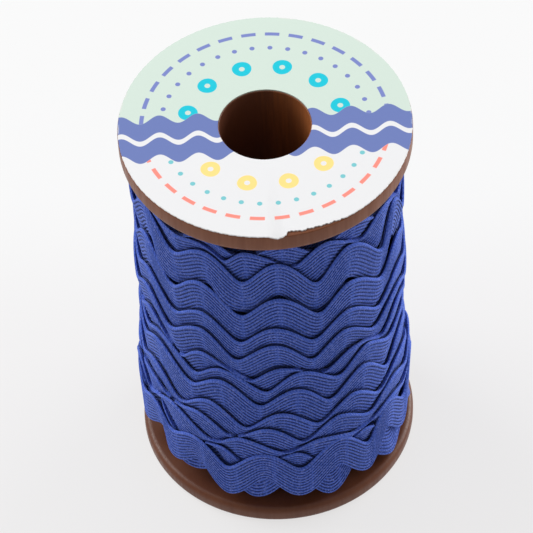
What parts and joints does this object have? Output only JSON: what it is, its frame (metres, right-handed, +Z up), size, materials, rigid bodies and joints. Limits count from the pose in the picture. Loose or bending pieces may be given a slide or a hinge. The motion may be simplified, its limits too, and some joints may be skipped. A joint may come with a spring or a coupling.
{
  "type": "roll of ric rac braid on a wooden spool",
  "caption": "Wide zigzag ric rac braid wound in lapped turns on a turned wooden spool with thin round flanges, a through bore and a paper label ring on its upper end.",
  "frame": {"origin": "centre of the spool's foot, on the surface that it stands on", "axes": "+Z up the spool's axis towards the labelled flange; -Y towards the picture's viewer and +X to the viewer's right"},
  "size_m": [0.0508, 0.0508, 0.0816],
  "materials": {
    "stained_wood": "fine-grained turned wood, dark walnut-brown stain, satin, rims worn a little paler",
    "blue_braid": "woven braid in blue yarn, ribbed along its zigzag, matt",
    "label_paper": "matt printed paper in pale green, blue and white fields"
  },
  "bodies": {
    "root": {"spool": "stained_wood", "winding": "blue_braid", "label": "label_paper"}
  },
  "joints": []
}
